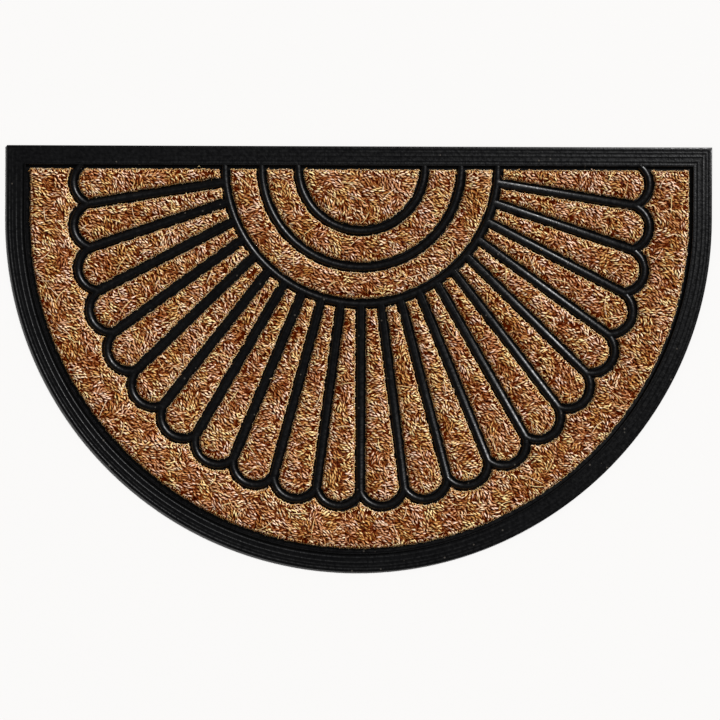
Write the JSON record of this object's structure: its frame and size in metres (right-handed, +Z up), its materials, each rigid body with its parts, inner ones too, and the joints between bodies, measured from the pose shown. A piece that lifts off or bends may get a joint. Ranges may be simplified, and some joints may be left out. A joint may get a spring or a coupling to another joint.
{
  "type": "coir doormat",
  "caption": "Flat half-round entrance mat: black moulded rubber with a ribbed border and half-sunburst beads, and coir pile in its cells.",
  "frame": {"origin": "on the underside, at the middle of the bounding box", "axes": "+Z up out of the pile, +X along the straight edge, +Y towards the straight edge, so the round edge is at -Y"},
  "size_m": [0.762, 0.46, 0.01],
  "materials": {
    "rubber": "moulded black rubber, dull satin",
    "coir": "short coarse coir pile, golden brown"
  },
  "bodies": {
    "root": {"rubber_moulding": "rubber", "coir_half_disc": "coir", "coir_inner_band": "coir", "coir_outer_band": "coir", "coir_petal_01": "coir", "coir_petal_02": "coir", "coir_petal_03": "coir", "coir_petal_04": "coir", "coir_petal_05": "coir", "coir_petal_06": "coir", "coir_petal_07": "coir", "coir_petal_08": "coir", "coir_petal_09": "coir", "coir_petal_10": "coir", "coir_petal_11": "coir", "coir_petal_12": "coir", "coir_petal_13": "coir", "coir_petal_14": "coir", "coir_petal_15": "coir", "coir_petal_16": "coir", "coir_petal_17": "coir", "coir_petal_18": "coir", "coir_petal_19": "coir", "coir_petal_20": "coir", "coir_petal_21": "coir", "coir_petal_22": "coir", "coir_field": "coir"}
  },
  "joints": []
}
